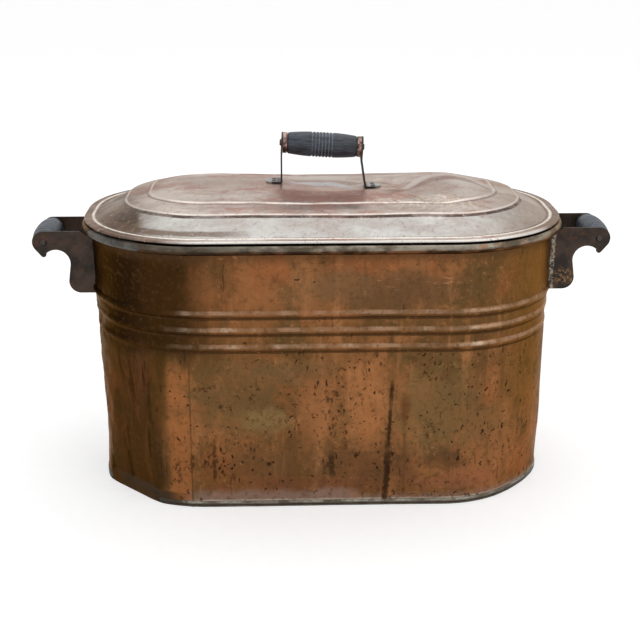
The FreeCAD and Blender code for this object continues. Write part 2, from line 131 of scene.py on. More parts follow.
def carried(section):
    """Grid of points that a section gives when carried round the plan: section, station, xyz."""
    section = np.array(section)
    radius, z = section[:, :1], section[:, 1:]
    x = PLAN[:, 0] + radius * PLAN[:, 2]
    y = PLAN[:, 1] + radius * PLAN[:, 3]
    return np.stack([x, y, z + 0 * x], axis=-1)


def closed_middle(grid, shares):
    """More rings inside a grid's last ring, which lies on the plan's long axis once shares reach 0."""
    return np.concatenate([grid, np.stack([grid[-1] * [1, share, 1] for share in shares])])


def grid_faces(rows, columns, closed_rows=False):
    """Quads of a grid whose columns close on themselves, and whose rows may."""
    faces = []
    for row in range(rows if closed_rows else rows - 1):
        for column in range(columns):
            right = (column + 1) % columns
            below = (row + 1) % rows
            faces.append((row * columns + column, row * columns + right,
                          below * columns + right, below * columns + column))
    return faces


def make_object(name, points, faces, material, thickness=0.0, merge=False):
    """A smooth mesh object; a thickness makes a sheet of it, outward where positive."""
    mesh = bpy.data.meshes.new(name)
    mesh.from_pydata(np.asarray(points).reshape(-1, 3).tolist(), [], faces)
    if merge:
        shell = bmesh.new()
        shell.from_mesh(mesh)
        bmesh.ops.remove_doubles(shell, verts=shell.verts, dist=1e-6)
        bmesh.ops.recalc_face_normals(shell, faces=shell.faces)
        shell.to_mesh(mesh)
        shell.free()
    mesh.polygons.foreach_set("use_smooth", [True] * len(mesh.polygons))
    mesh.materials.append(material)
    piece = bpy.data.objects.new(name, mesh)
    bpy.context.scene.collection.objects.link(piece)
    if thickness:
        skin = piece.modifiers.new("sheet", "SOLIDIFY")
        skin.thickness = abs(thickness)
        skin.offset = math.copysign(1, thickness)
    return piece


def dress(piece, body, slot, *nodes):
    """Put a piece in place of the nodes that it stands for."""
    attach(piece, body)
    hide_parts(*nodes)


def rough(points, scale, seed):
    """Smooth noise between -1 and 1 at each point of an array of xyz."""
    flat = points.reshape(-1, 3) * scale + seed
    return np.array([noise.noise(Vector(point)) for point in flat]).reshape(points.shape[:-1])


# ---- procedural materials ------------------------------------------------------------------
def srgb(red, green, blue):
    """A colour written as seen on a screen, 0 to 255, as linear light."""
    def linear(value):
        value /= 255
        return value / 12.92 if value <= 0.04045 else ((value + 0.055) / 1.055) ** 2.4
    return linear(red), linear(green), linear(blue), 1.0


class Look:
    """A procedural material built on the object's own coordinates."""

    def __init__(self, name):
        self.material = bpy.data.materials.new(name)
        self.material.use_nodes = True
        self.tree = self.material.node_tree
        self.shader = self.tree.nodes["Principled BSDF"]
        self.place = self.add("ShaderNodeTexCoord").outputs["Object"]
        self.xyz = self.add("ShaderNodeSeparateXYZ", Vector=self.place).outputs

    def add(self, kind, **inputs):
        node = self.tree.nodes.new(kind)
        for name, value in inputs.items():
            self.put(node.inputs[name], value)
        return node

    def put(self, socket, value):
        if isinstance(value, bpy.types.NodeSocket):
            self.tree.links.new(value, socket)
        else:
            socket.default_value = value

    def vector_maths(self, operation, *values):
        node = self.add("ShaderNodeVectorMath")
        node.operation = operation
        for socket, value in zip(node.inputs, values):
            self.put(socket, value)
        return node.outputs

    def spot(self, stretch=(1, 1, 1), shift=(0, 0, 0), warp=0.0, warp_scale=20.0):
        """Coordinates that are bent, stretched and shifted."""
        vector = self.place
        if warp:
            bend = self.add("ShaderNodeTexNoise", Vector=self.place, Scale=warp_scale, Detail=2.0)
            centred = self.vector_maths("SUBTRACT", bend.outputs["Color"], (0.5, 0.5, 0.5))[0]
            vector = self.vector_maths("MULTIPLY_ADD", centred, (warp, warp, warp), self.place)[0]
        mapping = self.add("ShaderNodeMapping", Vector=vector, Location=shift, Scale=stretch)
        return mapping.outputs[0]

    def noise(self, scale, detail=4.0, roughness=0.55, **where):
        return self.add("ShaderNodeTexNoise", Vector=self.spot(**where), Scale=scale, Detail=detail,
                        Roughness=roughness).outputs["Fac"]

    def cells(self, scale, **where):
        """Distance to the nearest of some scattered points."""
        return self.add("ShaderNodeTexVoronoi", Vector=self.spot(**where), Scale=scale).outputs["Distance"]

    def between(self, value, low, high, start=0.0, end=1.0):
        """start below low, end above high, and smooth in between."""
        ranged = self.add("ShaderNodeMapRange")
        ranged.interpolation_type = "SMOOTHSTEP"
        for socket, number in zip(ranged.inputs, (value, low, high, start, end)):
            self.put(socket, number)
        return ranged.outputs[0]

    def maths(self, operation, first, second=0.0):
        node = self.add("ShaderNodeMath")
        node.operation = operation
        self.put(node.inputs[0], first)
        self.put(node.inputs[1], second)
        return node.outputs[0]

    def times(self, *values):
        product = values[0]
        for value in values[1:]:
            product = self.maths("MULTIPLY", product, value)
        return product

    def plus(self, *values):
        total = values[0]
        for value in values[1:]:
            total = self.maths("ADD", total, value)
        return total

    def most(self, *values):
        top = values[0]
        for value in values[1:]:
            top = self.maths("MAXIMUM", top, value)
        return top

    def blend(self, amount, first, second):
        node = self.add("ShaderNodeMix")
        node.data_type = "RGBA"
        self.put(node.inputs[0], amount)
        self.put(node.inputs[6], first)
        self.put(node.inputs[7], second)
        return node.outputs[2]

    def wander(self, amount, scale):
        return self.times(self.maths("SUBTRACT", self.noise(scale), 0.5), amount)

    def inset(self):
        """How far inside the wall's outer face a point of the lid stands."""
        past = []
        for axis, half in ((0, CORE_X), (1, CORE_Y)):
            away = self.maths("ABSOLUTE", self.xyz[axis])
            past.append(self.maths("MAXIMUM", self.maths("SUBTRACT", away, half), 0.0))
        out = self.add("ShaderNodeCombineXYZ", X=past[0], Y=past[1]).outputs[0]
        return self.maths("SUBTRACT", RIM_RADIUS, self.vector_maths("LENGTH", out)[1])

    def near(self, axis, centre, width, ragged=0.0, ragged_scale=60.0, lean=0.0):
        """1 within a width of a place along an axis or another value; lean moves it with height."""
        value = self.xyz[axis] if isinstance(axis, int) else axis
        if lean:
            value = self.maths("SUBTRACT", value, self.times(self.xyz[2], lean))
        away = self.maths("ABSOLUTE", self.maths("SUBTRACT", value, centre))
        if ragged:
            away = self.plus(away, self.wander(ragged, ragged_scale))
        return self.between(away, width * 0.4, width, 1.0, 0.0)

    def above(self, axis, low, high, ragged=0.0, ragged_scale=60.0):
        value = self.xyz[axis] if isinstance(axis, int) else axis
        if ragged:
            value = self.plus(value, self.wander(ragged, ragged_scale))
        return self.between(value, low, high)

    def below(self, axis, low, high, ragged=0.0, ragged_scale=60.0):
        return self.maths("SUBTRACT", 1.0, self.above(axis, low, high, ragged, ragged_scale))

    def blot(self, centre, size, ragged=0.9, scale=55.0):
        """1 inside an uneven blob at a place, with its size along X, Y and Z."""
        away = self.vector_maths("SUBTRACT", self.place, centre)[0]
        scaled = self.vector_maths("DIVIDE", away, size)[0]
        length = self.vector_maths("LENGTH", scaled)[1]
        return self.between(self.plus(length, self.wander(ragged * 2, scale)), 0.3, 1.3, 1.0, 0.0)

    def scattered(self, scale, radius, noise_scale, low, high, seed, stretch=(1, 1, 1)):
        """Small marks of a radius in cells, thick where a broad noise is high."""
        marks = self.between(self.cells(scale, stretch=stretch, shift=(seed, seed * 2, seed * 3), warp=0.010,
                                        warp_scale=160.0), radius * 0.60, radius, 1.0, 0.0)
        share = self.between(self.noise(noise_scale, 3.0, 0.5, shift=(seed * 3, seed, seed * 2)), low, high)
        return self.times(marks, share)

    def finish(self, color, roughness, metallic=0.0, height=None, distance=0.0003, strength=1.0,
               edge_tint=(1, 1, 1, 1)):
        """Wire up the shader; the edge tint colours what a metal mirrors at a grazing angle."""
        self.put(self.shader.inputs["Base Color"], color)
        self.put(self.shader.inputs["Roughness"], roughness)
        self.put(self.shader.inputs["Metallic"], metallic)
        self.put(self.shader.inputs["Specular Tint"], edge_tint)
        if height is not None:
            bump = self.add("ShaderNodeBump", Height=height, Strength=strength, Distance=distance)
            self.put(self.shader.inputs["Normal"], bump.outputs[0])
        return self.material


# stains on the front of the body: centre, size along X and Z, colour, strength
STAINS = [
    ((-0.100, 0.135), (0.070, 0.050), (98, 76, 46), 0.75),
    ((-0.070, 0.108), (0.036, 0.016), (138, 112, 72), 0.50),
    ((-0.120, 0.045), (0.034, 0.034), (122, 74, 42), 0.65),
    ((0.125, 0.120), (0.056, 0.060), (106, 84, 52), 0.75),
    ((0.180, 0.095), (0.040, 0.040), (112, 82, 50), 0.60),
    ((0.140, 0.058), (0.024, 0.018), (72, 52, 34), 0.60),
    ((0.045, 0.128), (0.026, 0.060), (160, 106, 66), 0.70),
    ((-0.010, 0.125), (0.030, 0.060), (146, 96, 60), 0.60),
    ((-0.050, 0.168), (0.060, 0.016), (110, 84, 54), 0.60),
    ((0.075, 0.262), (0.085, 0.028), (100, 72, 50), 0.65),
    ((-0.095, 0.262), (0.050, 0.034), (134, 86, 52), 0.55),
    ((0.000, 0.268), (0.060, 0.024), (120, 88, 60), 0.55),
    ((0.028, 0.050), (0.055, 0.034), (88, 62, 40), 0.65),
    ((0.080, 0.045), (0.045, 0.030), (92, 62, 40), 0.60),
    ((-0.070, 0.055), (0.050, 0.024), (98, 68, 44), 0.50),
    ((0.090, 0.122), (0.007, 0.018), (96, 58, 32), 0.75),
    ((0.165, 0.030), (0.060, 0.016), (142, 88, 62), 0.55),
    ((-0.030, 0.026), (0.100, 0.014), (110, 68, 46), 0.60),
]


def front_dirt_and_crease_shade(look, front):
    """The long dark run of dirt down the front, the short one left of it and the round spot, and a painted
    shade line down the crease.
    """
    broken = look.between(look.noise(70.0, 5.0, 0.65, stretch=(1, 1, 0.35)), 0.34, 0.54, 0.40, 1.0)
    run_x, run_lean = 0.0687, 0.043
    thick = look.times(look.near(0, run_x, 0.0052, 0.0090, 150.0, lean=run_lean),
                       look.below(2, 0.06, 0.11, 0.02))
    thin = look.near(0, run_x, 0.0028, 0.0040, 150.0, lean=run_lean)
    run = look.times(look.most(thick, thin), front, look.below(2, 0.146, 0.160, 0.02), broken)
    short_run = look.times(look.near(0, 0.007, 0.0044, 0.009, 140.0), front,
                           look.above(2, 0.032, 0.042, 0.01), look.below(2, 0.060, 0.072, 0.02))
    left_run = look.times(look.near(0, -0.1285, 0.0024, 0.008, 140.0), front,
                          look.above(2, 0.030, 0.040, 0.01), look.below(2, 0.070, 0.090, 0.02), 0.7)
    spot = look.blot((-0.0655, FRONT_Y, 0.054), (0.0036, 0.02, 0.0032), 0.25, 200.0)
    knot = look.blot((-0.1195, FRONT_Y, 0.126), (0.0034, 0.02, 0.0030), 0.30, 200.0)
    # painted shade: a thin dark line down the crease at the front's left corner
    crease_shade = look.times(look.near(0, -0.1545, 0.0013, 0.0008, 90.0), front,
                        look.below(2, 0.165, 0.185), broken)
    dots = look.times(look.most(look.blot((0.054, FRONT_Y, 0.160), (0.012, 0.05, 0.040), 0.5),
                                look.blot((0.052, FRONT_Y, 0.050), (0.026, 0.05, 0.040), 0.5),
                                look.blot((-0.105, FRONT_Y, 0.060), (0.040, 0.05, 0.030), 0.5)),
                      look.between(look.cells(155.0, stretch=(1, 1, 0.6), warp=0.004, warp_scale=150.0),
                                   0.17, 0.26, 1.0, 0.0))
    return look.most(run, look.times(short_run, 0.75), left_run, spot, look.times(knot, 0.8),
                     look.times(crease_shade, 0.55), dots)


def copper_body_look():
    """Old brown copper: orange zones, olive tarnish, pits, drips, scratches and a grey foot."""
    look = Look("copper_body")
    front = look.below(1, -0.12, -0.09)
    broad = look.noise(7.0, 5.0, 0.6, warp=0.05, warp_scale=12.0)
    patches = look.noise(19.0, 6.0, 0.62, stretch=(1, 1, 0.7), shift=(0.7, 0.2, 0.1), warp=0.03)
    fine = look.noise(170.0, 6.0, 0.68)
    grain = look.noise(520.0, 3.0, 0.6, stretch=(1, 1, 0.25))
    color = look.blend(look.between(broad, 0.38, 0.62), srgb(100, 70, 40), srgb(140, 92, 56))
    color = look.blend(look.between(patches, 0.50, 0.62, 0.0, 0.75), color, srgb(94, 72, 42))
    ruddy = look.noise(12.0, 4.0, 0.55, shift=(3.1, 0.4, 0.9), warp=0.02)
    color = look.blend(look.between(ruddy, 0.54, 0.66, 0.0, 0.7), color, srgb(140, 84, 50))
    clouds = look.noise(42.0, 6.0, 0.7, shift=(1.7, 0.9, 0.3), warp=0.012)
    color = look.blend(look.between(clouds, 0.54, 0.68, 0.0, 0.55), color, srgb(76, 56, 34))
    color = look.blend(look.between(clouds, 0.46, 0.34, 0.0, 0.45), color, srgb(164, 110, 70))
    # streaks where water ran down
    streaks = look.noise(60.0, 5.0, 0.65, stretch=(1, 1, 0.10), shift=(0.3, 0, 0), warp=0.003)
    color = look.blend(look.between(streaks, 0.54, 0.68, 0.0, 0.55), color, srgb(84, 60, 36))
    color = look.blend(look.between(streaks, 0.46, 0.32, 0.0, 0.45), color, srgb(164, 112, 72))
    # the bright flank beside the crease, the dark left end (painted shade with tarnish), the olive right end
    flank = look.times(look.near(0, -0.1665, 0.018, 0.010), front, look.below(2, 0.155, 0.190, 0.03))
    color = look.blend(look.times(flank, 0.70), color, srgb(150, 94, 54))
    left = look.below(0, -0.196, -0.178, 0.016, 30.0)
    lower_left = look.times(left, look.below(2, 0.16, 0.20, 0.03))
    # painted shade, with tarnish: the lower left end darkened
    color = look.blend(look.times(lower_left, 0.88), color, srgb(50, 33, 18))
    rust_patches = look.noise(24.0, 6.0, 0.7, stretch=(1, 1, 0.4), warp=0.02)
    rusty = look.times(lower_left, look.between(rust_patches, 0.48, 0.62))
    color = look.blend(look.times(rusty, 0.75), color, srgb(98, 58, 36))
    dark_streaks = look.times(lower_left, look.between(streaks, 0.50, 0.58), 0.7)
    color = look.blend(dark_streaks, color, srgb(26, 17, 10))
    olive_edge = look.times(look.near(0, -0.192, 0.014, 0.012, 30.0), look.above(2, 0.06, 0.12, 0.04), front)
    color = look.blend(look.times(olive_edge, 0.5), color, srgb(82, 58, 22))
    # painted shade, with tarnish: the upper left and the top of the left end darkened nearly to black
    upper_left = look.times(look.below(0, -0.175, -0.085, 0.035, 20.0), look.above(2, 0.165, 0.205, 0.03))
    color = look.blend(look.times(upper_left, 0.92), color, srgb(48, 30, 10))
    end = look.times(look.below(0, -0.235, -0.185, 0.02, 22.0), look.above(2, 0.16, 0.20, 0.02))
    color = look.blend(look.times(end, 0.90), color, srgb(22, 14, 9))
    right = look.times(look.above(0, 0.175, 0.235, 0.04, 20.0), look.above(2, 0.060, 0.150, 0.05, 24.0))
    color = look.blend(look.times(right, 0.70), color, srgb(98, 70, 32))
    for (x, height), (wide, tall), tint, share in STAINS:
        blot = look.blot((x, FRONT_Y, height), (wide, 0.05, tall))
        color = look.blend(look.times(blot, share), color, srgb(*tint))
    # greyer above the base, painted shade under the rim
    foot = look.most(look.times(look.below(2, 0.014, 0.026, 0.014, 60.0),
                                look.below(0, 0.02, 0.05, 0.02), 0.80),
                     look.times(look.below(2, 0.010, 0.018, 0.006, 60.0), 0.5))
    color = look.blend(look.times(foot, look.above(0, -0.17, -0.14)), color, srgb(132, 108, 96))
    tucked = look.times(look.below(2, 0.0150, 0.0175), look.near(0, -0.207, 0.052),
                        look.below(1, -0.05, -0.03))
    color = look.blend(look.times(tucked, 0.85), color, srgb(58, 48, 38))
    solder = look.times(look.below(2, 0.0086, 0.0100, 0.0030, 130.0),
                        look.between(patches, 0.35, 0.6, 0.45, 1.0))
    color = look.blend(look.times(solder, look.above(0, -0.17, -0.13), 0.85), color, srgb(170, 160, 144))
    # painted shade: the wall darkened just under the roll
    shade_under_rim = look.times(look.above(2, 0.290, 0.304, 0.010, 60.0), look.below(2, *UNDER_ROLL))
    color = look.blend(look.times(shade_under_rim, 0.6), color, srgb(72, 52, 34))
    # beads pale on their upper shoulders, partly rubbed wear and partly painted highlight; painted shade
    # beneath them
    bead_wear_and_highlight = 0.0
    bead_underside_shade = 0.0
    for height in BEAD_HEIGHTS:
        bead_wear_and_highlight = look.plus(look.near(2, height + 0.0020, 0.0029, 0.0016, 70.0), bead_wear_and_highlight)
        bead_underside_shade = look.plus(look.near(2, height - 0.0056, 0.0022, 0.0012, 70.0), bead_underside_shade)
    worn = look.between(look.noise(26.0, 5.0, 0.65, stretch=(1, 1, 0.3)), 0.36, 0.62, 0.15, 0.95)
    bright_side = look.above(0, -0.19, -0.12, 0.03)
    gleam = look.blend(look.between(look.noise(15.0, 5.0, 0.7, shift=(0.6, 0, 0)), 0.50, 0.66),
                       srgb(160, 126, 100), srgb(206, 182, 158))
    color = look.blend(look.times(bead_wear_and_highlight, worn, bright_side, 0.85), color, gleam)
    # painted shade: a dark line under each bead
    color = look.blend(look.times(bead_underside_shade, 0.8), color, srgb(60, 40, 22))
    # pits, specks, dashes and drips, and the painted shade line down the front's crease
    low_front = look.below(2, 0.17, 0.22, 0.05)
    often = look.plus(look.times(low_front, 0.75), 0.25)
    crust = look.noise(135.0, 7.0, 0.78, stretch=(1, 1, 0.55), shift=(0.9, 0.3, 0.5), warp=0.004,
                       warp_scale=90.0)
    crusted = look.between(look.noise(15.0, 4.0, 0.6, shift=(0.2, 0.6, 0.9)), 0.42, 0.56)
    specks = look.most(
        look.times(look.scattered(120.0, 0.19, 20.0, 0.46, 0.55, 0.11), often),
        look.scattered(60.0, 0.095, 12.0, 0.50, 0.58, 0.37),
        look.times(look.between(crust, 0.575, 0.615), crusted, often, 0.8),
        look.times(look.scattered(100.0, 0.19, 17.0, 0.46, 0.55, 0.53, (1, 1, 0.32)), low_front),
        look.times(look.scattered(70.0, 0.12, 19.0, 0.48, 0.56, 0.29, (0.35, 1, 1)), 0.9),
        look.times(look.scattered(50.0, 0.14, 13.0, 0.48, 0.56, 0.71, (1, 1, 0.16)), low_front, 0.7))
    lying = look.noise(210.0, 3.0, 0.6, stretch=(0.14, 1, 1), warp=0.020)
    upright = look.noise(210.0, 3.0, 0.6, stretch=(1, 1, 0.10), warp=0.012)
    hairs = look.most(look.between(lying, 0.680, 0.705), look.between(upright, 0.660, 0.690))
    specks = look.times(specks, look.above(0, -0.215, -0.175))
    # dirt and specks, together with the painted shade down the crease
    marks = look.most(specks, front_dirt_and_crease_shade(look, front), look.times(hairs, crusted, 0.55))
    color = look.blend(look.times(marks, 0.82), color, srgb(36, 26, 17))
    # soft worn edges of the tarnish, then pale nicks and scuffs
    worn_spots = look.times(look.between(fine, 0.56, 0.70), look.between(patches, 0.44, 0.58),
                            look.above(0, -0.18, -0.13))
    color = look.blend(look.times(worn_spots, 0.5), color, srgb(168, 118, 78))
    color = look.blend(look.between(fine, 0.50, 0.34, 0.0, 0.45), color, srgb(80, 56, 34))
    nicks = look.times(look.scattered(70.0, 0.05, 9.0, 0.54, 0.60, 0.91, (0.5, 1, 1)),
                       look.above(0, -0.15, -0.12))
    ends = look.times(look.above(look.maths("ABSOLUTE", look.xyz[0]), 0.246, 0.260),
                      look.near(1, -0.065, 0.050, 0.020, 30.0))
    scrapes = look.times(ends, look.above(2, 0.015, 0.04), look.below(2, 0.13, 0.19),
                         look.between(look.noise(260.0, 6.0, 0.75, stretch=(1, 1, 0.30), warp=0.006),
                                      0.53, 0.62))
    color = look.blend(look.times(scrapes, 0.45), color, srgb(166, 148, 128))
    # grime along the edges of the back's lock seam
    seam_edge = look.times(look.near(look.maths("ABSOLUTE", look.xyz[0]), SEAM_HALF, 0.0014, 0.0008, 90.0),
                           look.above(1, 0.12, 0.13), look.below(2, *UNDER_ROLL))
    color = look.blend(look.times(seam_edge, 0.75), color, srgb(44, 32, 22))
    scuff = look.times(look.blot((0.100, FRONT_Y, 0.272), (0.085, 0.05, 0.008), 0.4),
                       look.between(look.noise(330.0, 3.0, 0.6, stretch=(0.14, 1, 1), warp=0.004),
                                    0.60, 0.68))
    color = look.blend(look.times(look.most(look.times(nicks, 0.8), scuff), 0.6), color, srgb(196, 156, 120))
    # rolled rim: grey-brown metal over an underside darkened with painted shade, with copper showing through
    rim = look.above(2, 0.3050, 0.3062, 0.0010, 50.0)
    tin = look.noise(64.0, 5.0, 0.65, stretch=(0.4, 0.4, 1), warp=0.01)
    rim_color = look.blend(look.between(tin, 0.38, 0.62), srgb(88, 78, 66), srgb(148, 140, 126))
    bare = look.between(look.noise(40.0, 4.0, 0.6, shift=(0.5, 0.5, 0)), 0.58, 0.68, 0.0, 0.75)
    rim_color = look.blend(bare, rim_color, srgb(150, 100, 66))
    underside_shade = look.blend(look.between(tin, 0.42, 0.60), srgb(50, 34, 22), srgb(104, 70, 46))
    rim_color = look.blend(look.below(2, 0.3102, 0.3128, 0.0020, 50.0), rim_color, underside_shade)
    rim_color = look.blend(look.times(look.below(0, -0.15, 0.0, 0.05), 0.7), rim_color, srgb(50, 43, 34))
    # painted shadow: the top of the roll near black under the lid's curl
    rim_color = look.blend(look.times(look.above(2, 0.3166, 0.3172), 0.9), rim_color, srgb(20, 15, 11))
    color = look.blend(rim, color, rim_color)
    roughness = look.plus(look.between(patches, 0.3, 0.7, 0.32, 0.48), look.times(marks, 0.25))
    height = look.plus(look.times(marks, -0.8), look.times(fine, 0.45), look.times(grain, 0.15))
    return look.finish(color, roughness, 1.0, height, 0.0004, 0.6, srgb(230, 205, 185))


def copper_lid_look():
    """Tinned copper gone grey, with pinkish copper where the tin is worn off."""
    look = Look("copper_lid")
    broad = look.noise(8.0, 5.0, 0.6, stretch=(0.6, 1.2, 1), warp=0.05, warp_scale=10.0)
    patches = look.noise(21.0, 6.0, 0.62, stretch=(0.7, 1.3, 1), shift=(0.4, 0.8, 0.2), warp=0.03)
    fine = look.noise(190.0, 6.0, 0.68)
    color = look.blend(look.between(broad, 0.40, 0.60), srgb(160, 144, 136), srgb(194, 184, 176))
    color = look.blend(look.between(patches, 0.50, 0.60, 0.0, 0.8), color, srgb(158, 122, 112))
    clouds = look.noise(46.0, 6.0, 0.72, stretch=(0.5, 1.4, 1), shift=(1.2, 0.4, 0.8), warp=0.012)
    color = look.blend(look.between(clouds, 0.54, 0.66, 0.0, 0.5), color, srgb(128, 106, 98))
    color = look.blend(look.between(clouds, 0.46, 0.34, 0.0, 0.5), color, srgb(206, 202, 198))
    pale = look.noise(13.0, 5.0, 0.6, stretch=(0.5, 1.4, 1), shift=(2.0, 0.1, 0), warp=0.02)
    color = look.blend(look.between(pale, 0.50, 0.64, 0.0, 0.8), color, srgb(188, 184, 178))
    # the outer band keeps its tin, the left end has lost it
    inset = look.inset()
    band = look.times(look.above(inset, 0.006, 0.008), look.below(inset, 0.0365, 0.0385, 0.0015))
    tinned = look.blend(look.between(patches, 0.38, 0.60), srgb(184, 185, 183), srgb(166, 166, 162))
    color = look.blend(look.times(band, 0.72), color, tinned)
    left = look.below(0, -0.240, -0.180, 0.06, 22.0)
    worn = look.blend(look.between(clouds, 0.44, 0.56), srgb(128, 108, 90), srgb(70, 52, 40))
    color = look.blend(look.times(left, 0.85), color, worn)
    bare_end = look.times(look.below(0, -0.212, -0.200, 0.030, 30.0), band)
    color = look.blend(look.times(bare_end, 0.85), color, look.blend(look.between(patches, 0.42, 0.54),
                                                                     srgb(108, 90, 72), srgb(62, 46, 36)))
    stripe = look.times(look.near(inset, 0.0135, 0.0056, 0.0050, 40.0), look.below(0, -0.13, -0.06, 0.03),
                        look.below(1, -0.02, 0.02))
    color = look.blend(look.times(stripe, 0.8), color, srgb(98, 78, 66))
    right = look.above(0, 0.16, 0.24, 0.08, 18.0)
    color = look.blend(look.times(right, 0.55), color, srgb(142, 116, 94))
    shoulder = look.times(look.near(0, 0.125, 0.040, 0.03, 20.0), look.above(inset, 0.07, 0.08),
                          look.below(1, 0.0, 0.04))
    color = look.blend(look.times(shoulder, 0.5), color, srgb(150, 134, 124))
    rosy = look.times(look.blot((0.015, -0.045, 0.354), (0.085, 0.040, 0.05), 0.8, 35.0), 0.7)
    color = look.blend(rosy, color, srgb(158, 114, 104))
    blue = look.times(look.blot((0.0, 0.002, 0.355), (0.060, 0.010, 0.05), 0.5, 60.0), 0.7)
    color = look.blend(blue, color, srgb(184, 192, 204))
    shade = look.times(look.near(1, 0.019, 0.008, 0.006), look.near(0, 0.0, 0.085),
                       look.above(inset, 0.075, 0.08))
    color = look.blend(look.times(shade, 0.6), color, srgb(124, 98, 92))
    # the crease that swings from the right foot to the back of the panel: a painted reflection, pale above,
    # brown below
    swing = look.plus(look.between(look.xyz[0], 0.075, 0.140, -0.030, 0.026),
                      look.between(look.xyz[0], 0.172, 0.215, 0.0, -0.050))
    beside = look.plus(look.maths("SUBTRACT", look.xyz[1], swing), look.wander(0.012, 35.0))
    reach = look.times(look.above(0, 0.060, 0.085), look.below(0, 0.190, 0.215),
                       look.above(inset, 0.070, 0.076))
    # painted reflection: painted shade below the crease, a painted highlight above it
    color = look.blend(look.times(look.near(beside, -0.012, 0.018), reach, 0.65), color, srgb(122, 98, 88))
    color = look.blend(look.times(look.near(beside, 0.006, 0.013), reach, 0.55), color, srgb(202, 198, 196))
    flecks = look.times(look.blot((0.115, -0.080, 0.352), (0.065, 0.020, 0.05), 0.5),
                        look.between(fine, 0.50, 0.58))
    color = look.blend(look.times(flecks, 0.8), color, srgb(232, 214, 192))
    # painted shade in the groove, the step and under the bead; painted highlights on the crest, shoulders and
    # front lip
    lines = look.between(look.noise(34.0, 5.0, 0.65), 0.38, 0.58, 0.45, 1.0)
    front = look.times(look.below(1, -0.12, -0.09), look.above(0, -0.19, -0.13))
    edge = look.times(look.below(inset, 0.0, 0.0015, 0.0008, 90.0), look.maths("SUBTRACT", 1.0, front), 0.75)
    # painted highlight: the front of the curl's outer lip made pale
    lip = look.times(look.below(inset, -0.0052, -0.0040), front)
    # painted shade: dark lines in the groove, at the step and under the inner bead
    groove_shade = look.near(inset, 0.0062, 0.0022, 0.0010, 90.0)
    step = look.near(inset, 0.0386, 0.0022, 0.0010, 90.0)
    under_bead_shade = look.near(inset, 0.0664, 0.0018, 0.0010, 90.0)
    edge_color = look.blend(look.between(clouds, 0.42, 0.58), srgb(118, 92, 78), srgb(84, 62, 50))
    color = look.blend(edge, color, edge_color)
    color = look.blend(look.times(lip, 0.8), color, srgb(222, 218, 212))
    color = look.blend(look.times(groove_shade, 0.7), color, srgb(96, 80, 66))
    step_shade = look.times(step, look.between(clouds, 0.60, 0.40, 0.55, 0.95))
    color = look.blend(step_shade, color, srgb(64, 50, 44))
    color = look.blend(look.times(under_bead_shade, 0.6), color, srgb(102, 82, 76))
    # painted highlights: pale lines on the curl's crest and on the shoulders of the step and the bead
    crest_highlight = look.near(inset, 0.0026, 0.0022, 0.0008, 70.0)
    shoulder_highlights = look.most(look.near(inset, 0.0414, 0.0016, 0.0010, 90.0),
                          look.near(inset, 0.0696, 0.0024, 0.0012, 90.0))
    color = look.blend(look.times(crest_highlight, look.plus(look.times(lines, 0.4), 0.55)), color, srgb(238, 232, 224))
    color = look.blend(look.times(shoulder_highlights, lines, 0.8), color, srgb(216, 206, 198))
    # painted shadow in the gap over the rim, green specks low on the band, dark specks anywhere
    gap_shadow = look.times(look.below(2, 0.3194, 0.3202), look.below(inset, -0.002, 0.0))
    color = look.blend(gap_shadow, color, srgb(18, 13, 10))
    green = look.times(look.scattered(300.0, 0.24, 60.0, 0.46, 0.56, 0.23), look.below(inset, 0.013, 0.019),
                       look.below(1, -0.10, -0.07))
    color = look.blend(look.times(green, 0.75), color, srgb(92, 92, 70))
    marks = look.most(look.scattered(130.0, 0.13, 20.0, 0.52, 0.60, 0.41),
                      look.scattered(60.0, 0.06, 11.0, 0.52, 0.6, 0.77))
    color = look.blend(look.times(marks, 0.6), color, srgb(84, 66, 54))
    color = look.blend(look.between(fine, 0.56, 0.70, 0.0, 0.45), color, srgb(206, 196, 184))
    color = look.blend(look.between(fine, 0.46, 0.32, 0.0, 0.45), color, srgb(118, 96, 84))
    roughness = look.plus(look.between(patches, 0.3, 0.7, 0.26, 0.42), look.times(marks, 0.2))
    height = look.plus(look.times(marks, -0.5), look.times(fine, 0.4), look.times(patches, 1.2))
    return look.finish(color, roughness, 0.9, height, 0.0005, 0.55, srgb(244, 234, 226))


def copper_base_look():
    """The clinched seam round the foot: painted shade black in its angles, grey metal and pale solder on its
    lips.
    """
    look = Look("copper_base")
    crust = look.noise(60.0, 6.0, 0.65)
    fine = look.noise(240.0, 5.0, 0.65)
    color = look.blend(look.between(crust, 0.40, 0.60), srgb(84, 72, 58), srgb(112, 102, 88))
    lip = look.times(look.near(2, 0.0062, 0.0016, 0.0006, 120.0),
                     look.between(look.noise(34.0, 5.0, 0.65), 0.40, 0.60))
    color = look.blend(look.times(lip, 0.8), color, srgb(172, 168, 156))
    # painted shade: black in the groove between the lips and along the bottom edge
    color = look.blend(look.times(look.near(2, 0.0028, 0.0011, 0.0004, 120.0), 0.9), color, srgb(22, 18, 15))
    color = look.blend(look.below(2, 0.0004, 0.0012, 0.0005, 120.0), color, srgb(26, 22, 18))
    color = look.blend(look.times(look.below(0, -0.19, -0.15), 0.8), color, srgb(44, 34, 26))
    color = look.blend(look.between(fine, 0.50, 0.70, 0.0, 0.5), color, srgb(52, 42, 32))
    return look.finish(color, look.between(crust, 0.3, 0.7, 0.42, 0.62), 0.6, fine, 0.0005, 0.7)


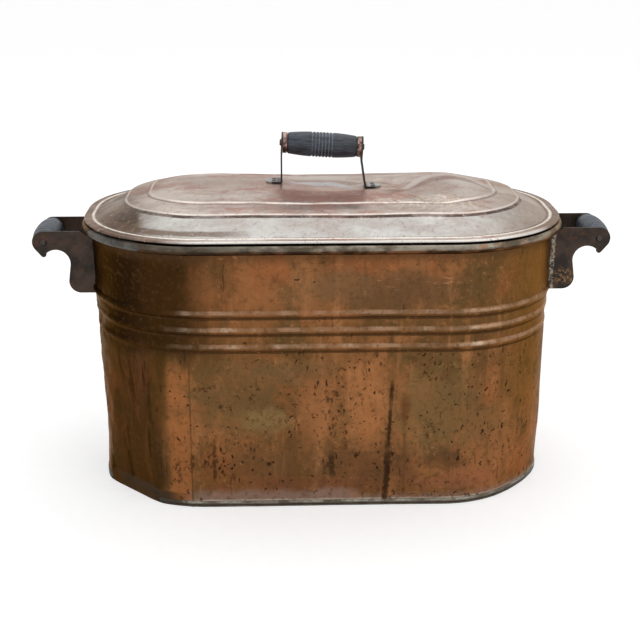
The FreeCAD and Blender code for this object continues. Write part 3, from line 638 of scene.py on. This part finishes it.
def iron_look(name, dark, light, rust, roughness, bare_feet=False, soldered=False):
    """Dull iron with rust freckles; the lid's straps have pale feet, one bracket has ragged solder."""
    look = Look(name)
    broad = look.noise(36.0, 5.0, 0.6)
    fine = look.noise(300.0, 5.0, 0.65)
    color = look.blend(look.between(broad, 0.36, 0.64), dark, light)
    rusty = look.noise(75.0, 5.0, 0.6, shift=(0.2, 0.7, 0.3))
    color = look.blend(look.between(rusty, 0.52, 0.66, 0.0, 0.6), color, rust)
    freckles = look.scattered(260.0, 0.2, 30.0, 0.45, 0.55, 0.31)
    color = look.blend(look.times(freckles, 0.6), color, srgb(30, 23, 19))
    if soldered:
        ragged = look.times(look.near(0, 0.2685, 0.0034, 0.0050, 120.0, lean=0.0174),
                            look.near(look.maths("ABSOLUTE", look.xyz[1]), 0.038, 0.0035))
        solder = look.times(ragged, look.between(fine, 0.42, 0.54), 0.8)
        color = look.blend(solder, color, srgb(180, 170, 150))
        gold = look.times(look.blot((0.290, -0.036, 0.246), (0.016, 0.02, 0.010), 0.5),
                          look.between(fine, 0.50, 0.58))
        color = look.blend(look.times(gold, 0.7), color, srgb(170, 132, 84))
    if bare_feet:
        feet = look.times(look.between(look.maths("ABSOLUTE", look.xyz[0]), 0.0525, 0.0550),
                          look.below(2, 0.360, 0.362))
        inner = look.between(look.maths("ABSOLUTE", look.xyz[1]), 0.0105, 0.0120, 1.0, 0.0)
        pale = look.times(feet, inner, look.between(broad, 0.32, 0.5, 0.5, 0.95))
        color = look.blend(pale, color, srgb(168, 164, 160))
    height = look.plus(look.times(fine, 0.5), broad)
    uneven = look.between(fine, 0.3, 0.7, roughness - 0.08, roughness + 0.1)
    return look.finish(color, uneven, 0.5, height, 0.0004, 0.6)


def wood_look(name, along, rings, lean=0.0):
    """Blackened turned wood, rubbed blue-grey along the grain, with dust in its rings."""
    look = Look(name)
    stretch = tuple(0.10 if axis == along else 1.0 for axis in range(3))
    grain = look.noise(420.0, 5.0, 0.7, stretch=stretch, warp=0.002, warp_scale=60.0)
    pores = look.noise(900.0, 3.0, 0.6, stretch=stretch)
    wear = look.noise(48.0, 5.0, 0.6)
    color = look.blend(look.between(grain, 0.38, 0.66), srgb(22, 23, 26), srgb(72, 80, 92))
    color = look.blend(look.between(wear, 0.50, 0.68, 0.0, 0.5), color, srgb(66, 74, 86))
    color = look.blend(look.between(pores, 0.60, 0.70, 0.0, 0.85), color, srgb(12, 11, 11))
    dust = 0.0
    for place in rings:
        dust = look.plus(look.near(along, place, 0.0010, 0.0003, 90.0, lean), dust)
    dusty = look.between(look.noise(150.0, 4.0, 0.6), 0.34, 0.56, 0.35, 1.0)
    color = look.blend(look.times(dust, dusty, 0.70), color, srgb(126, 136, 148))
    height = look.plus(grain, look.times(pores, -0.5))
    return look.finish(color, look.between(grain, 0.3, 0.7, 0.36, 0.54), 0.0, height, 0.0004, 0.8)


def ferrule_look():
    look = Look("ferrule_copper")
    fine = look.noise(260.0, 4.0, 0.6)
    stain = look.noise(110.0, 5.0, 0.6)
    color = look.blend(look.between(stain, 0.42, 0.60), srgb(176, 146, 136), srgb(82, 58, 50))
    color = look.blend(look.between(fine, 0.52, 0.70, 0.0, 0.7), color, srgb(48, 32, 26))
    return look.finish(color, look.between(stain, 0.3, 0.7, 0.32, 0.5), 0.85, fine, 0.0002, 0.5)


LID_GRIP_TILT = math.asin(6.0 / 97.6)
LID_GRIP_Z = 398.8 * MM
LID_RINGS = [(number - 3) * 3.9 * MM for number in range(7)]
SIDE_RINGS = [place * MM for place in (-27, -22, -7, 0, 7, 22, 27)]
LID_LEAN = math.tan(LID_GRIP_TILT)
LID_RING_PLACES = [place - LID_GRIP_Z * LID_LEAN for place in LID_RINGS]    # where they would cross height 0

LOOKS = {
    "copper_body": copper_body_look(),
    "copper_lid": copper_lid_look(),
    "copper_base": copper_base_look(),
    "bracket_steel": iron_look("bracket_steel", srgb(36, 27, 20), srgb(72, 55, 44), srgb(78, 52, 34), 0.5,
                               soldered=True),
    "dark_steel": iron_look("dark_steel", srgb(34, 26, 24), srgb(66, 54, 50), srgb(74, 46, 34), 0.42, True),
    "rivet_iron": iron_look("rivet_iron", srgb(52, 46, 42), srgb(104, 98, 92), srgb(88, 62, 48), 0.42),
    "rod_iron": iron_look("rod_iron", srgb(40, 33, 30), srgb(80, 70, 66), srgb(70, 46, 36), 0.40),
    "lid_grip_wood": wood_look("lid_grip_wood", 0, LID_RING_PLACES, LID_LEAN),
    "side_grip_wood": wood_look("side_grip_wood", 1, SIDE_RINGS),
    "ferrule_copper": ferrule_look(),
    "rim_iron": iron_look("rim_iron", srgb(60, 58, 54), srgb(96, 92, 86), srgb(90, 66, 50), 0.5),
}
for row in frame["record"]["subparts"]:
    node = frame["nodes"][row["node"]]
    node.data.materials.clear()
    node.data.materials.append(LOOKS[row["material_slot"]])

# ---- body ----------------------------------------------------------------------------------
# how far the end walls have been pushed in, by height
END_HEIGHTS = [0.0, 0.02, 0.05, 0.085, 0.134, 0.184, 0.205, 0.228]
RIGHT_PUSH = [0.0, 0.0, 0.0, 0.0, 0.8, 1.0, 1.6, 0.0]
LEFT_PUSH = [0.0, 1.0, 2.6, 2.2, 1.2, 1.4, 1.4, 0.0]
# the flattened front left corner: its outward direction, and how far out it stands by height
FACET = np.array((-0.7286, -0.6849))
FACET_HEIGHTS = [0.0, 0.008, 0.0125, 0.0175, 0.05, 0.10, 0.15, 0.195]
FACET_REACH = [0.2315, 0.2320, 0.2318, 0.2284, 0.2312, 0.2345, 0.2395, 0.2480]
FACET_BEND = 0.9 * MM


def wall_radius(z):
    share = (z - SEAM_TOP) / (RIM_Z - SEAM_TOP)
    return BASE_RADIUS + (RIM_RADIUS - BASE_RADIUS) * min(1.0, max(0.0, share))


def bead_bulge(z):
    """How far the beads stand out of the wall at a height."""
    total = 0.0
    for centre in BEAD_HEIGHTS:
        total = total + np.cos(np.clip(np.abs(z - centre) / BEAD_HALF_WIDTH, 0, 1) * math.pi / 2) ** 1.3
    return BEAD_DEPTH * total


def knocked(points):
    """The wall's points with their beads and back lock seam, after years of knocks."""
    x, y, z = points[..., 0], points[..., 1], points[..., 2]
    normal_x, normal_y = PLAN[:, 2], PLAN[:, 3]
    turn = np.degrees(np.arctan2(normal_y, normal_x)) % 360
    free = 1 - smooth_step(0.288, 0.303, z)
    worn = 0.72 * (1 - smooth_step(0.224, 0.230, z))
    out = bead_bulge(z) * (1 - worn * np.abs(normal_x) ** 3)
    push = np.where(x > 0, np.interp(z, END_HEIGHTS, RIGHT_PUSH), np.interp(z, END_HEIGHTS, LEFT_PUSH))
    out = out - push * MM * np.abs(normal_x) ** 3
    out = out + 0.0009 * hump(x, -0.156, 0.0026) * (y < 0) * (1 - smooth_step(0.16, 0.19, z))
    out = out + free * (0.0012 * rough(points, 9.0, 3.0) + 0.0004 * rough(points, 34.0, 8.0))
    crumple = hump(turn, 198, 18) * smooth_step(0.03, 0.10, z) * free
    out = out + crumple * (0.0013 * rough(points, 38.0, 5.5) + 0.0016 * rough(points, 85.0, 1.5) - 0.0006)
    out = out - 0.0060 * hump(turn, 320, 24) * (1 - smooth_step(0.01, 0.07, z))
    lapped = smooth_step(SEAM_TOP, SEAM_TOP + 1.5 * MM, z) * (1 - smooth_step(0.3045, 0.3058, z))
    out = out + SEAM_DEPTH * lapped * (y > 0) * (
        1 - smooth_step(SEAM_HALF - SEAM_EASE, SEAM_HALF + SEAM_EASE, np.abs(x)))
    moved = points.copy()
    moved[..., 0] += out * normal_x
    moved[..., 1] += out * normal_y
    beyond = moved[..., :2] @ FACET - np.interp(z, FACET_HEIGHTS, FACET_REACH)
    pressed = np.logaddexp(0, beyond / FACET_BEND) * FACET_BEND * (x < 0) * (y < 0)
    moved[..., :2] -= pressed[..., None] * FACET
    return moved


def wall_section():
    """The wall's inner face from foot to rim, then the outside of the roll."""
    heights = [1.0 * MM, 4.0 * MM]
    heights += list(np.arange(7.0, 24.0, 1.2) * MM)
    heights += list(np.arange(26.0, 188.0, 4.0) * MM)
    heights += list(np.arange(190.0, 244.0, 0.9) * MM)
    heights += list(np.arange(247.0, 308.0, 4.0) * MM)
    section = [(wall_radius(z) - SHEET, z) for z in heights]
    return section + arc_profile(RIM_AXIS_RADIUS, RIM_Z, RIM_ROLL, 180, -148, 30)


wall = knocked(carried(wall_section()))
wall_piece = make_object("body_wall_sheet", wall, grid_faces(*wall.shape[:2]), LOOKS["copper_body"], SHEET)
dress(wall_piece, "boiler", "copper_body", "body_wall")

# the pan's flat, its folded edge and the two lips of the clinched seam, out from the wall's foot
FOLD = [(-6.0, 6.0), (-1.9, 6.0), (-1.8, 1.0), (-1.2, 0.1), (0.2, 0.0), (0.8, 0.4), (1.1, 1.4), (0.7, 2.5),
        (0.8, 3.1), (1.2, 4.2), (1.1, 5.6), (0.6, 6.8), (0.2, 7.4)]
fold = resampled([(BASE_RADIUS + out * MM, z * MM) for out, z in FOLD], 0.6 * MM, 1)
flat = [(BASE_RADIUS * share, 6 * MM) for share in (0.85, 0.6, 0.3, 0.0)]
base = knocked(carried([*fold[::-1], *flat]))
base = closed_middle(base, (0.5, 0.0))
base_piece = make_object("bottom_pan_folded", base, grid_faces(*base.shape[:2]), LOOKS["copper_base"],
                         -0.7 * MM, merge=True)
dress(base_piece, "boiler", "copper_base", "bottom_pan")


# ---- lid -----------------------------------------------------------------------------------
def lid_sag(points):
    """How far the lid is pushed down or up at each point."""
    x, y, z = points[..., 0], points[..., 1], points[..., 2]
    crown = smooth_step(0.3405, 0.3525, z)
    away = np.hypot((x - DENT[0]) / np.where(x > DENT[0], 1.7, 1.3), y - DENT[1])
    under_foot = 1 - smooth_step(0.016, 0.042, away)
    left_foot = np.hypot(x - LEFT_FOOT_X, y)
    calm = smooth_step(0.012, 0.03, left_foot) * smooth_step(0.015, 0.030, np.hypot(x - DENT[0], y))
    sag = -DENT[2] * under_foot
    sag += calm * (0.0030 * hump(x, 0.150, 0.022) * hump(y, 0.005, 0.055) - 0.0026 * hump(x, 0.015, 0.05))
    sag += calm * (0.0026 * rough(points, 11.0, 2.2) + 0.0010 * rough(points, 30.0, 4.4) - 0.0014)
    edge_dent = -0.0030 * hump(x, 0.130, 0.018) * hump(y, -0.072, 0.012)
    outer = 0.0012 * rough(points, 14.0, 9.1) * smooth_step(0.324, 0.334, z)
    return crown * sag + edge_dent * smooth_step(0.338, 0.345, z) + outer * (1 - crown)


lid_line = arc_profile(*LID_CURL, -170, 90, 14)
lid_line += [tuple(point) for point in resampled(
    [(RIM_RADIUS - inset * MM, z * MM) for inset, z in LID_SECTION], 1.0 * MM, 2)]
lid_line += [(share * 22 * MM, LID_TOP) for share in (0.84, 0.68, 0.52, 0.36, 0.2, 0.0)]
lid = closed_middle(carried(lid_line), (0.66, 0.33, 0.0))
lid[..., 2] += lid_sag(lid)
lid_piece = make_object("lid_stamped", lid, grid_faces(*lid.shape[:2]), LOOKS["copper_lid"],
                        -SHEET, merge=True)
dress(lid_piece, "lid", "copper_lid", "lid_panel")


# ---- turned grips --------------------------------------------------------------------------
def lathe(name, outline, centre, along, material, turns=72):
    """A turned piece on an axis, from its outline as pairs of distance along and radius."""
    outline = np.array(outline)
    axis = Vector(along).normalized()
    side = axis.cross(Vector((0, 0, 1))).normalized()
    up = side.cross(axis)
    angles = np.linspace(0, 2 * math.pi, turns, endpoint=False)
    ring = np.cos(angles)[:, None] * np.array(side) + np.sin(angles)[:, None] * np.array(up)
    points = (np.array(centre) + outline[:, 0][:, None, None] * np.array(axis)
              + outline[:, 1][:, None, None] * ring[None])
    return make_object(name, points, grid_faces(len(outline), turns, True), material, merge=True)


def grip_outline(half, end_radius, middle_radius, bore, ring_places, ring_depth, shoulder, tenon_radius):
    """Barrel outline with round-bottomed ring grooves, eased shoulders and a bore."""
    places = np.linspace(-shoulder, shoulder, 220)
    swell = middle_radius - (middle_radius - end_radius) * (np.abs(places) / shoulder) ** 2.2
    for place in ring_places:
        swell = swell - ring_depth * hump(places, place, 0.0010)
    swell = swell - 0.0012 * smooth_step(shoulder - 0.0022, shoulder, np.abs(places))
    outline = [(-half, bore), (-half, tenon_radius), (-shoulder, tenon_radius)]
    outline += list(zip(places, swell))
    return outline + [(shoulder, tenon_radius), (half, tenon_radius), (half, bore)]


lid_outline = grip_outline(half=45.2 * MM, end_radius=12.2 * MM, middle_radius=14.85 * MM, bore=3.1 * MM,
                           ring_places=LID_RINGS, ring_depth=1.0 * MM, shoulder=41.4 * MM,
                           tenon_radius=11.4 * MM)
lid_grip = lathe("lid_grip_turned", lid_outline, (0, 0, LID_GRIP_Z),
                 (math.cos(LID_GRIP_TILT), 0, -math.sin(LID_GRIP_TILT)), LOOKS["lid_grip_wood"])
dress(lid_grip, "lid_handle_grip", "lid_grip_wood", "lid_grip")
SIDE_GRIP_X = 328 * MM
SIDE_GRIP_Z = 292 * MM
side_outline = grip_outline(half=35.7 * MM, end_radius=12.5 * MM, middle_radius=16.0 * MM, bore=3.4 * MM,
                            ring_places=SIDE_RINGS, ring_depth=0.6 * MM, shoulder=35.6 * MM,
                            tenon_radius=11.0 * MM)
for end, name in ((1, "right"), (-1, "left")):
    grip = lathe("side_grip_turned_" + name, side_outline, (end * SIDE_GRIP_X, 0, SIDE_GRIP_Z), (0, 1, 0),
                 LOOKS["side_grip_wood"])
    dress(grip, name + "_handle_grip", "side_grip_wood", "side_grip_" + name)


# ---- stage, lights and camera ----------------------------------------------------------------
def seen_directly(tree):
    """1 for what the camera, a mirror or glass sees, in any node tree."""
    path = tree.nodes.new("ShaderNodeLightPath")
    shown = path.outputs["Is Camera Ray"]
    for name in ("Is Glossy Ray", "Is Transmission Ray"):
        either = tree.nodes.new("ShaderNodeMath")
        either.operation = "MAXIMUM"
        tree.links.new(shown, either.inputs[0])
        tree.links.new(path.outputs[name], either.inputs[1])
        shown = either.outputs[0]
    return shown


FLOOR_GLOW = 0.48            # of the floor where it is seen directly
WORLD_LIGHT = 0.62           # of the world where it isn't
floor_mesh = bpy.data.meshes.new("floor")
floor_mesh.from_pydata([(-30, -30, 0), (30, -30, 0), (30, 30, 0), (-30, 30, 0)], [], [(0, 1, 2, 3)])
floor = bpy.data.objects.new("floor", floor_mesh)
bpy.context.scene.collection.objects.link(floor)
floor_look = Look("pale_floor")
speckle = floor_look.noise(90.0, 3.0, 0.5)
floor_color = floor_look.blend(floor_look.between(speckle, 0.3, 0.7),
                               srgb(222, 222, 222), srgb(228, 228, 228))
floor_look.finish(floor_color, 0.9)
floor_look.put(floor_look.shader.inputs["Emission Color"], (1, 1, 1, 1))
floor_look.put(floor_look.shader.inputs["Emission Strength"],
               floor_look.times(seen_directly(floor_look.tree), FLOOR_GLOW))
floor_mesh.materials.append(floor_look.material)

world = bpy.data.worlds.new("studio")
bpy.context.scene.world = world
world.use_nodes = True
background = world.node_tree.nodes["Background"]
strength = world.node_tree.nodes.new("ShaderNodeMapRange")
strength.inputs["To Min"].default_value = WORLD_LIGHT
world.node_tree.links.new(seen_directly(world.node_tree), strength.inputs["Value"])
world.node_tree.links.new(strength.outputs[0], background.inputs["Strength"])
background.inputs["Color"].default_value = (1, 1, 1, 1)


def softbox(name, place, target, size, power):
    lamp = bpy.data.lights.new(name, "AREA")
    lamp.shape = "RECTANGLE"
    lamp.size, lamp.size_y = size
    lamp.energy = power
    box = bpy.data.objects.new(name, lamp)
    box.location = place
    box.rotation_euler = (Vector(target) - Vector(place)).to_track_quat("-Z", "Y").to_euler()
    bpy.context.scene.collection.objects.link(box)


softbox("overhead", (0.2, 0.3, 2.4), (0, 0, 0.2), (3.0, 2.4), 16)
softbox("key_right", (1.9, -1.7, 1.5), (0, 0, 0.18), (1.4, 1.4), 7)
softbox("fill_left", (-2.2, -1.2, 1.3), (0, 0, 0.18), (1.2, 1.2), 2)

CAMERA_ELEVATION = math.radians(17.98)
CAMERA_TURN = math.radians(1.728)
CAMERA_DISTANCE = 1.6
FOCAL_PIXELS = 1298.2
IMAGE_WIDTH = 640
SENSOR_WIDTH = 36.0
back = Vector((-math.sin(CAMERA_TURN) * math.cos(CAMERA_ELEVATION),
               -math.cos(CAMERA_TURN) * math.cos(CAMERA_ELEVATION), math.sin(CAMERA_ELEVATION)))
camera_data = bpy.data.cameras.new("camera")
camera_data.sensor_width = SENSOR_WIDTH
camera_data.lens = FOCAL_PIXELS / IMAGE_WIDTH * SENSOR_WIDTH
camera = bpy.data.objects.new("camera", camera_data)
bpy.context.scene.collection.objects.link(camera)
aim = Vector((-2.343 * MM, 0.071 * MM, 181.04 * MM))
camera.location = aim + back * CAMERA_DISTANCE
camera.rotation_euler = (-back).to_track_quat("-Z", "Y").to_euler()
bpy.context.scene.camera = camera
bpy.context.scene.view_settings.view_transform = "Standard"
